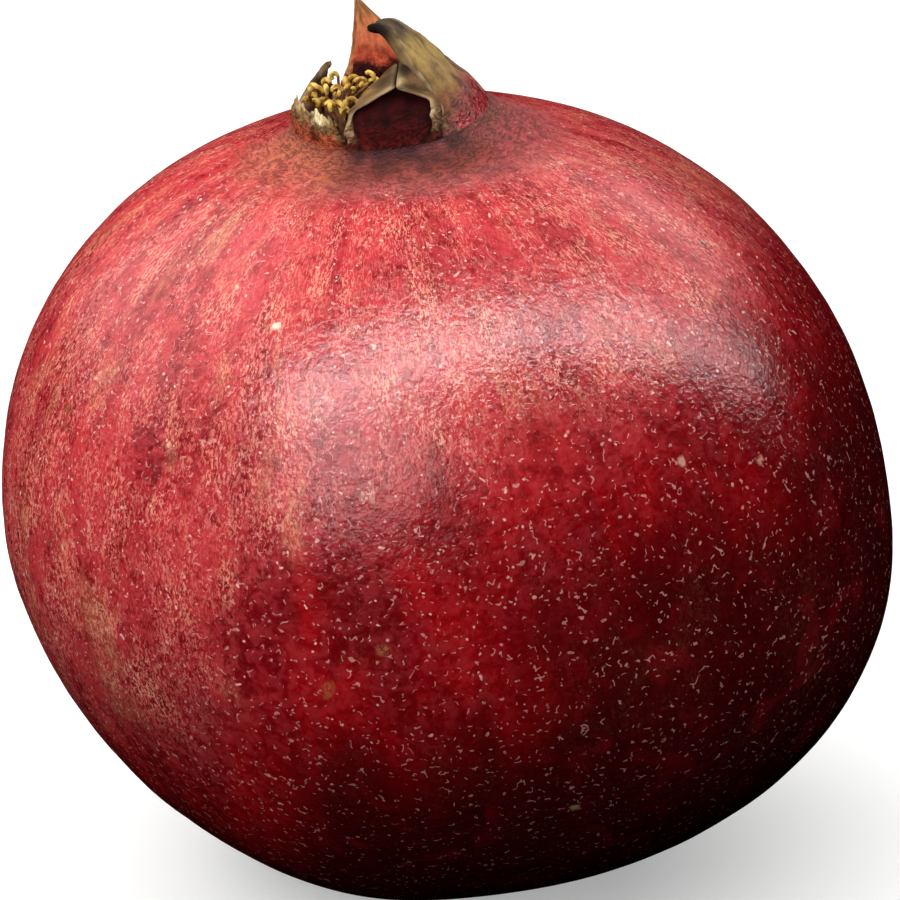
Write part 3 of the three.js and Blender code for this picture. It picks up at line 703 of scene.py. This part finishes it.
    # Pale pores are dimmed where the skin is painted darker towards the lower right: painted shade
    shown = add(RANGE, {0: painted_shade_to_maroon, 1: 0.0, 2: 0.7, 3: 0.95, 4: 0.15})
    colour = add(MIX, {0: add(MATH, {0: pores, 1: shown}, operation="MULTIPLY"), 6: colour,
                       7: linear("FFBCB0")}, **COLOURS)

    broken_up = add(RANGE, {0: flecky, 1: 0.42, 2: 0.56, 3: 0.2}, **SOFT)
    for azimuth, polar, radius, tone, strength in SCARS:
        spot = in_frame(body_point(polar, azimuth)) / MM
        apart = add(VECTOR, {0: millimetres, 1: spot}, out="Value", operation="DISTANCE")
        uneven = add(MATH, {0: fine, 1: radius * 2.4, 2: apart}, operation="MULTIPLY_ADD")
        mark = add(RANGE, {0: uneven, 1: radius * 2.3, 2: radius * 1.4, 4: strength}, **SOFT)
        if radius > SMALL_SCAR:
            mark = add(MATH, {0: mark, 1: broken_up}, operation="MULTIPLY")
        colour = add(MIX, {0: mark, 6: colour, 7: linear(tone)}, **COLOURS)

    # Near the crown the neck's tints with painted shade in its creases, and above it the sepals' dried tissue
    fibres = add(MAPPING, {"Vector": flow, "Scale": (0.36, 0.36, 0.8)})
    veins = add(NOISE, {"Vector": fibres, "Scale": 1.0, "Detail": 5.0, "Distortion": 1.2, "Roughness": 0.65})
    veined = add(MIX, {0: add(RANGE, {0: veins, 1: 0.34, 2: 0.62}, **SOFT), 6: linear("6A5A50"),
                       7: linear("FFFFFF")}, **COLOURS)
    dried = add(MIX, {0: 0.28, 6: tissue, 7: veined}, blend_type="MULTIPLY", **COLOURS)
    colour = add(MIX, {0: cover, 6: colour, 7: dried}, **COLOURS)
    transverse = add(MAPPING, {"Vector": flow, "Scale": (0.26, 0.26, 1.5)})
    wrinkles = add(NOISE, {"Vector": transverse, "Scale": 1.0, "Detail": 3.0, "Distortion": 1.5})
    on_neck = add(MATH, {0: add(RANGE, {0: height, 1: 20.0, 2: 14.0}, **SOFT),
                         1: add(RANGE, {0: height, 1: 4.0, 2: 7.0}, **SOFT)}, operation="MULTIPLY")
    # The neck's creases are darkened: painted shade in the wrinkles
    painted_crease_shade = add(MATH, {0: add(RANGE, {0: wrinkles, 1: 0.54, 2: 0.42, 4: 0.75}, **SOFT), 1: on_neck},
                  operation="MULTIPLY")
    colour = add(MIX, {0: painted_crease_shade, 6: colour, 7: linear("A05A50")}, blend_type="MULTIPLY", **COLOURS)

    # Height in mm of the leathery grain, the low dimples and the neck's wrinkles
    grain = add(NOISE, {"Vector": millimetres, "Scale": 1.5, "Detail": 3.0, "Roughness": 0.6})
    dimples = add(NOISE, {"Vector": millimetres, "Scale": 0.28, "Detail": 2.0})
    relief = add(MATH, {0: grain, 1: 0.13}, operation="MULTIPLY")
    relief = add(MATH, {0: dimples, 1: 0.07, 2: relief}, operation="MULTIPLY_ADD")
    folds = add(MATH, {0: wrinkles, 1: on_neck}, operation="MULTIPLY")
    relief = add(MATH, {0: folds, 1: 0.5, 2: relief}, operation="MULTIPLY_ADD")
    bump = add(BUMP, {"Strength": 0.9, "Distance": MM, "Height": relief})
    worn = add(NOISE, {"Vector": millimetres, "Scale": 1.4, "Detail": 3.0})
    gloss = add(RANGE, {0: worn, 1: 0.35, 2: 0.65, 3: settings.gloss_low, 4: settings.gloss_high})
    gloss = add(MATH, {0: cover, 1: 0.8, 2: gloss}, operation="MULTIPLY_ADD", use_clamp=True)
    close_material(tree, {"Base Color": colour, "Roughness": gloss, "IOR": 1.46, "Normal": bump,
                          "Specular IOR Level": shine})
    return material


def dried_material(name, light, dark, scale):
    """Dried papery plant tissue: dull, fibrous and mottled."""
    material, tree = new_material(name)
    place = add_node(tree, "ShaderNodeTexCoord", out="Object")
    mottle = add_node(tree, NOISE, {"Vector": place, "Scale": scale / MM, "Detail": 3.0})
    share = add_node(tree, RANGE, {0: mottle, 1: 0.35, 2: 0.65})
    colour = add_node(tree, MIX, {0: share, 6: linear(dark), 7: linear(light)}, **COLOURS)
    bump = add_node(tree, BUMP, {"Strength": 0.6, "Distance": 0.1 * MM, "Height": mottle})
    close_material(tree, {"Base Color": colour, "Roughness": 0.62, "Normal": bump, "Specular IOR Level": 0.2})
    return material


# Settings


class RindSettings(bpy.types.PropertyGroup):
    coral: FloatVectorProperty(name="Coral", description="Skin on the pale side", subtype="COLOR", size=4,
                               default=linear("C8323A"), min=0, max=1)
    crimson: FloatVectorProperty(name="Crimson", description="Skin on the ripe side", subtype="COLOR", size=4,
                                 default=linear("A8040E"), min=0, max=1)
    crimson_dark: FloatVectorProperty(name="Dark crimson", description="Streaks of the ripe side", subtype="COLOR",
                                      size=4, default=linear("740208"), min=0, max=1)
    # Maroon is the painted shade towards the fruit's lower right, over the crimson
    maroon: FloatVectorProperty(name="Maroon", description="Skin that was turned to the sun", subtype="COLOR",
                                size=4, default=linear("360003"), min=0, max=1)
    gloss_low: FloatProperty(name="Gloss low", description="Roughness where the wax shines", default=0.11, min=0, max=1)
    gloss_high: FloatProperty(name="Gloss high", description="Roughness where the wax is worn", default=0.24, min=0, max=1)
    unevenness: FloatProperty(name="Unevenness", description="Height of the skin's low swells", default=0.22 * MM,
                              unit="LENGTH")


class StamenSettings(bpy.types.PropertyGroup):
    count: IntProperty(name="Count", description="Stamens in the crown", default=190, min=1)
    anther_length: FloatProperty(name="Anther length", description="Along its curl", default=1.6 * MM, unit="LENGTH")
    anther_radius: FloatProperty(name="Anther radius", description="At its thickest", default=0.28 * MM, unit="LENGTH")


class StageSettings(bpy.types.PropertyGroup):
    distance: FloatProperty(name="Distance", description="From the camera to the fruit", default=0.45, unit="LENGTH")
    elevation: FloatProperty(name="Elevation", description="Of the camera above the horizon",
                             default=math.radians(20), subtype="ANGLE")
    lens: FloatProperty(name="Lens", description="Focal length of the camera in mm", default=170.5)


DULL_OUTSIDE = ("front", "torn")  # sepals whose outside has dried too


# Pieces


def sepal_panel(name, skins):
    """A sepal's share of the rind, as a grid primitive with its vertices set in place."""
    columns = [rind_column(name, step) for step in range(COLUMNS + 1)]
    rows = len(columns[0])
    start_clean()
    bpy.ops.mesh.primitive_grid_add(x_subdivisions=COLUMNS, y_subdivisions=rows - 1, size=1)
    panel = bpy.context.object
    ordered = [column[row] for row in range(rows) for column in columns]
    mesh = panel.data
    mesh.vertices.foreach_set("co", [c for point, _, _ in ordered for c in in_frame(point)])
    flow = mesh.attributes.new("flow", "FLOAT_VECTOR", "POINT")
    flow.data.foreach_set("vector", [c for _, vector, _ in ordered for c in vector])
    tissue = mesh.attributes.new("tissue", "FLOAT_COLOR", "POINT")
    tissue.data.foreach_set("color", [c for _, _, colour in ordered for c in colour])
    for skin in skins:
        mesh.materials.append(skin)
    rim = FOOT_STEPS + BODY_STEPS + NECK_STEPS
    dull_from = rim if name in DULL_OUTSIDE else rim + SEPAL_STEPS
    mesh.polygons.foreach_set("material_index", [int(i // COLUMNS >= dull_from) for i in range(len(mesh.polygons))])
    return panel


class POMEGRANATE_OT_rind(bpy.types.Operator):
    """Model the rind with its calyx tube and sepals"""

    bl_idname = "pomegranate.rind"
    bl_label = "Rind and crown"

    def execute(self, context):
        settings = context.scene.pomegranate_rind
        skins = (rind_material(settings, "Pomegranate rind", 0.5), rind_material(settings, "Dried calyx", 0.12))
        panels = [sepal_panel(name, skins) for name in SEPALS]
        pick(*panels)
        bpy.ops.object.join()
        rind = context.object
        rind.matrix_world = Matrix.Identity(4)
        in_edit_mode(
            rind,
            lambda: bpy.ops.mesh.remove_doubles(threshold=MERGE_DISTANCE),
            lambda: bpy.ops.mesh.dissolve_degenerate(threshold=MERGE_DISTANCE),
            lambda: bpy.ops.mesh.select_all(action="SELECT"),
            lambda: bpy.ops.mesh.fill_holes(sides=6),
            lambda: bpy.ops.mesh.select_all(action="SELECT"),
            lambda: bpy.ops.mesh.normals_make_consistent(inside=False),
        )
        body = rind.vertex_groups.new(name="body")
        low = (in_frame(FOOT_MIDDLE).z + 1.5 * MM)
        high = in_frame(CROWN_BASE).z - 1 * MM
        for vertex in rind.data.vertices:
            height = vertex.co.z
            body.add([vertex.index], smooth(height, low, low + 8 * MM) * smooth(height, high, high - 8 * MM), "REPLACE")
        for label, size, strength in (("Swells", 11 * MM, settings.unevenness), ("Dents", 4 * MM, 0.12 * MM)):
            texture = bpy.data.textures.new(label, "CLOUDS")
            texture.noise_scale = size
            applied(rind, "DISPLACE", texture=texture, texture_coords="LOCAL", strength=strength, mid_level=0.5,
                    vertex_group="body")
        bpy.ops.object.select_all(action="DESELECT")
        pick(rind)
        bpy.ops.object.shade_smooth()
        finished(rind, "rind_and_crown", "fruit")
        return {"FINISHED"}


ROOT_RADIUS = 6.35
ROOT_HEIGHTS = (-2.6, -0.9)
HEAD_RADII = (0.5, 6.9)
HEAD_REACH = 9  # over the broken sepal
HEAD_SPREAD = (-16, 16)
HEAD_HEIGHTS = (0.4, 4.8)
HEAD_DROP = 2.8
OPEN_SIDE = 292
ELBOW_RISES = (0.2, 0.9)
ANTHER_POINTS = 7
ANTHER_TURN = (90, 300)  # degrees from an anther's one end to the other
FILAMENT_RADIUS = 0.17
HEAD_GAP = 0.64  # mm at the least between the middles of two anthers
TRIES = 9000
SEED = 12


def stamen_path(draw, settings):
    """The points of one stamen's filament, up from the tube's wall and in, and of its curled anther."""
    root_azimuth = draw.uniform(0, 360)
    azimuth = root_azimuth + draw.uniform(*HEAD_SPREAD)
    root = crown_point(ROOT_RADIUS + 0.9, draw.uniform(*ROOT_HEIGHTS), root_azimuth)
    opened = (1 + math.cos(math.radians(azimuth - OPEN_SIDE))) / 2
    height = lerp(*HEAD_HEIGHTS, opened) - draw.uniform(0, HEAD_DROP)
    reach = lerp(HEAD_RADII[1], HEAD_REACH, smooth(opened, 0.55, 0.9))
    head = crown_point(lerp(HEAD_RADII[0], reach, math.sqrt(draw.random())), height, azimuth)
    elbow = root.lerp(head, 0.5) + CROWN_AXIS * draw.uniform(*ELBOW_RISES)
    heading = (head - elbow).normalized()
    curl_axis = Vector((draw.uniform(-1, 1), draw.uniform(-1, 1), draw.uniform(-0.4, 0.4))).cross(heading).normalized()
    turn = Matrix.Rotation(math.radians(draw.uniform(*ANTHER_TURN)) / ANTHER_POINTS, 3, curl_axis)
    filament = [root, elbow, root.lerp(head, 0.9) + CROWN_AXIS * 0.15, head]
    step = settings.anther_length / MM / ANTHER_POINTS
    anther = [head - heading * 0.5 * step]
    radii = [settings.anther_radius / MM * 0.5]
    for i in range(ANTHER_POINTS):
        heading = turn @ heading
        anther.append(anther[-1] + heading * step)
        fullness = math.sin(math.pi * (i + 1) / (ANTHER_POINTS + 1)) ** 0.6
        radii.append(settings.anther_radius / MM * lerp(0.5, 1, fullness))
    return filament, anther, radii


def bevelled_paths(paths, radii, material):
    """Curves through lists of points, bevelled to their radii and made one mesh."""
    start_clean()
    bpy.ops.curve.primitive_bezier_curve_add()
    item = bpy.context.object
    curve = item.data
    curve.splines.clear()
    for points, widths in zip(paths, radii):
        spline = curve.splines.new("POLY")
        spline.points.add(len(points) - 1)
        for target, point, radius in zip(spline.points, points, widths):
            target.co = (*in_frame(point), 1)
            target.radius = radius
    curve.bevel_depth = MM
    curve.bevel_resolution = 1
    curve.use_fill_caps = True
    curve.materials.append(material)
    bpy.ops.object.convert(target="MESH")
    return item


class POMEGRANATE_OT_stamens(bpy.types.Operator):
    """Model the dried stamens inside the crown"""

    bl_idname = "pomegranate.stamens"
    bl_label = "Dried stamens"

    def execute(self, context):
        settings = context.scene.pomegranate_stamens
        rind = bpy.data.objects["rind_and_crown"]
        wall = BVHTree.FromObject(rind, context.evaluated_depsgraph_get())
        # Dried anthers: split golden sacs, papery and dull, on brown threads
        papery = dried_material("Dried anthers", "F8CE62", "8E5E18", 1.0)
        thready = dried_material("Dried filaments", "8A5A34", "4A2214", 1.2)
        draw = random.Random(SEED)
        heads = []
        filaments, anthers, widths = [], [], []
        for _ in range(TRIES):
            if len(heads) >= settings.count:
                break
            filament, anther, radii = stamen_path(draw, settings)
            middle = sum(anther, Vector()) / len(anther)
            if any((middle - other).length < HEAD_GAP for other in heads):
                continue
            clear = True
            for point, radius in zip(filament[2:] + anther, [FILAMENT_RADIUS] * 2 + radii):
                near, normal, _, distance = wall.find_nearest(in_frame(point))
                outside = (in_frame(point) - near).dot(normal) > 0
                clear = clear and outside and distance > (radius + 0.05) * MM
            if not clear:
                continue
            heads.append(middle)
            anthers.append(anther)
            widths.append(radii)
            filaments.append(filament)
        print("stamens", len(heads))
        if len(heads) < settings.count / 3:
            raise RuntimeError("the crown has no room for its stamens")
        thin = [[FILAMENT_RADIUS] * len(filament) for filament in filaments]
        pick(bevelled_paths(anthers, widths, papery), bevelled_paths(filaments, thin, thready))
        bpy.ops.object.join()
        tuft = context.object
        in_edit_mode(tuft, lambda: bpy.ops.mesh.normals_make_consistent(inside=False))
        pick(tuft)
        bpy.ops.object.shade_smooth_by_angle(angle=math.radians(60))
        finished(tuft, "dried_stamens", "stamens")
        return {"FINISHED"}


STALK_RADIUS = 2.45
STALK_CUT = 0.65


class POMEGRANATE_OT_stalk(bpy.types.Operator):
    """Model what is left of the stalk in the foot's hollow"""

    bl_idname = "pomegranate.stalk"
    bl_label = "Stalk stub"

    def execute(self, context):
        start_clean()
        top = HOLLOW_DEPTH + 0.3
        middle = in_frame(FOOT_MIDDLE + Vector((0, 0, (STALK_CUT + top) / 2)))
        bpy.ops.mesh.primitive_cylinder_add(vertices=40, radius=STALK_RADIUS * MM, depth=(top - STALK_CUT) * MM,
                                            location=middle)
        stub = context.object
        bpy.ops.object.transform_apply(location=True, rotation=True, scale=True)
        bpy.ops.object.mode_set(mode="EDIT")
        bpy.ops.mesh.select_all(action="DESELECT")
        bpy.ops.object.mode_set(mode="OBJECT")
        for face in stub.data.polygons:
            face.select = face.normal.z < -0.9
        bpy.ops.object.mode_set(mode="EDIT")
        bpy.ops.mesh.inset(thickness=0.35 * MM)
        bpy.ops.transform.translate(value=(0, 0, -0.12 * MM))
        bpy.ops.mesh.inset(thickness=0.9 * MM)
        bpy.ops.mesh.inset(thickness=0.6 * MM)
        bpy.ops.transform.translate(value=(0, 0, 0.25 * MM))
        bpy.ops.mesh.select_all(action="SELECT")
        bpy.ops.mesh.normals_make_consistent(inside=False)
        bpy.ops.object.mode_set(mode="OBJECT")
        texture = bpy.data.textures.new("Bark", "CLOUDS")
        texture.noise_scale = 1.1 * MM
        applied(stub, "DISPLACE", texture=texture, texture_coords="LOCAL", strength=0.25 * MM, mid_level=0.5)
        applied(stub, "BEVEL", width=0.08 * MM, segments=2)
        pick(stub)
        bpy.ops.object.shade_smooth_by_angle(angle=math.radians(40))
        # Cut pomegranate wood: dry, brown and fibrous, so dull
        stub.data.materials.append(dried_material("Cut stalk wood", "8A6842", "4A3220", 1.1))
        finished(stub, "stalk_stub_piece", "stalk_stub")
        return {"FINISHED"}


LAMP_DISTANCE = 0.9
LAMPS = (
    # Each is a rectangle between two ends, given by azimuth and elevation as seen from the fruit: name, one end,
    # other end, height in m, radiance in W/(m2 sr), whether it lights the dull surface, whether it shines on the wax
    ("Window edge over the right shoulder", (0, 62), (68, 58), 0.09, 24.0, False, True),
    ("Its end at the right", (68, 58), (99, 26), 0.05, 26.0, False, True),
    ("Soft part above it", (0, 66), (100, 46), 0.24, 1.0, False, True),
    ("Window edge over the left shoulder", (-52, 38), (4, 61), 0.2, 13.0, False, True),
    ("Lower part of that window", (-44, 27), (2, 31), 0.46, 3.8, False, True),
    ("Wide overhead", (-100, 38), (80, 38), 0.9, 1.7, True, False),
    ("Light of the left window", (-70, 22), (4, 26), 0.5, 2.9, True, False),
    ("Wall at the left", (-140, 32), (-84, 32), 0.7, 1.5, True, True),
    ("Wall behind at the right", (112, 38), (160, 38), 0.4, 1.6, False, True),
    ("Room behind", (130, 24), (230, 24), 0.5, 0.8, True, False),
)
BACKDROP = 0.35  # brightness of the far floor and of what is behind it; neither lights the fruit
TARGET = Vector((0.3, 1.6, 45.5)) * MM  # what the middle of the picture looks at


def around(azimuth, elevation, distance):
    """A place round the fruit's middle."""
    flat = level(azimuth) * math.cos(elevation)
    return TARGET + (flat + Vector((0, 0, math.sin(elevation)))) * distance


def facing(place, target):
    return (target - place).to_track_quat("-Z", "Y").to_euler()


class POMEGRANATE_OT_stage(bpy.types.Operator):
    """Set up the pale floor, the soft lights and the camera"""

    bl_idname = "pomegranate.stage"
    bl_label = "Stage"

    def execute(self, context):
        settings = context.scene.pomegranate_stage
        scene = context.scene
        start_clean()
        bpy.ops.mesh.primitive_plane_add(size=40, location=(0, 0, 0))
        floor = context.object
        floor.name = "floor"
        material, tree = new_material("Pale floor")
        close_material(tree, {"Base Color": linear("E2E1DF"), "Roughness": 0.9, "Emission Color": linear("FFFFFF"),
                              "Emission Strength": BACKDROP})
        floor.data.materials.append(material)
        floor.visible_diffuse = False
        floor.visible_glossy = False
        for name, first, second, height, radiance, on_dull, on_wax in LAMPS:
            ends = [around(azimuth, math.radians(elevation), LAMP_DISTANCE) for azimuth, elevation in (first, second)]
            middle = (ends[0] + ends[1]) / 2
            across = (ends[1] - ends[0]).normalized()
            back = (middle - TARGET).normalized()
            turn = Matrix((across, back.cross(across), back)).transposed()
            bpy.ops.object.light_add(type="AREA", location=middle, rotation=turn.to_euler())
            lamp = context.object
            lamp.name = name
            lamp.data.shape = "RECTANGLE"
            lamp.data.size = (ends[1] - ends[0]).length
            lamp.data.size_y = height
            lamp.data.energy = radiance * math.pi * lamp.data.size * height
            lamp.visible_diffuse = on_dull
            lamp.visible_glossy = on_wax
        world = bpy.data.worlds.new("Studio")
        world.use_nodes = True
        world.node_tree.nodes["Background"].inputs["Color"].default_value = linear("FFFFFF")
        world.node_tree.nodes["Background"].inputs["Strength"].default_value = BACKDROP
        world.cycles_visibility.diffuse = False
        world.cycles_visibility.glossy = False
        scene.world = world
        place = around(0, settings.elevation, settings.distance)
        bpy.ops.object.camera_add(location=place, rotation=facing(place, TARGET))
        camera = context.object
        camera.data.lens = settings.lens
        camera.data.clip_end = 100
        scene.camera = camera
        scene.view_settings.view_transform = "Standard"
        start_clean()
        return {"FINISHED"}


class POMEGRANATE_PT_panel(bpy.types.Panel):
    """Lists the pomegranate's pieces and settings"""

    bl_idname = "POMEGRANATE_PT_panel"
    bl_label = "Pomegranate"
    bl_space_type = "VIEW_3D"
    bl_region_type = "UI"
    bl_category = "Pomegranate"

    def draw(self, context):
        for group, operator in (("pomegranate_rind", "pomegranate.rind"),
                                ("pomegranate_stamens", "pomegranate.stamens"),
                                (None, "pomegranate.stalk"),
                                ("pomegranate_stage", "pomegranate.stage")):
            box = self.layout.box()
            if group:
                settings = getattr(context.scene, group)
                for name in settings.__annotations__:
                    box.prop(settings, name)
            box.operator(operator)


CLASSES = (RindSettings, StamenSettings, StageSettings, POMEGRANATE_OT_rind, POMEGRANATE_OT_stamens,
           POMEGRANATE_OT_stalk, POMEGRANATE_OT_stage, POMEGRANATE_PT_panel)


def register():
    for item in CLASSES:
        bpy.utils.register_class(item)
    bpy.types.Scene.pomegranate_rind = PointerProperty(type=RindSettings)
    bpy.types.Scene.pomegranate_stamens = PointerProperty(type=StamenSettings)
    bpy.types.Scene.pomegranate_stage = PointerProperty(type=StageSettings)


def unregister():
    del bpy.types.Scene.pomegranate_stage
    del bpy.types.Scene.pomegranate_stamens
    del bpy.types.Scene.pomegranate_rind
    for item in reversed(CLASSES):
        bpy.utils.unregister_class(item)


def main():
    register()
    bpy.ops.pomegranate.rind()
    bpy.ops.pomegranate.stamens()
    bpy.ops.pomegranate.stalk()
    bpy.ops.pomegranate.stage()


if __name__ == "__main__":
    main()
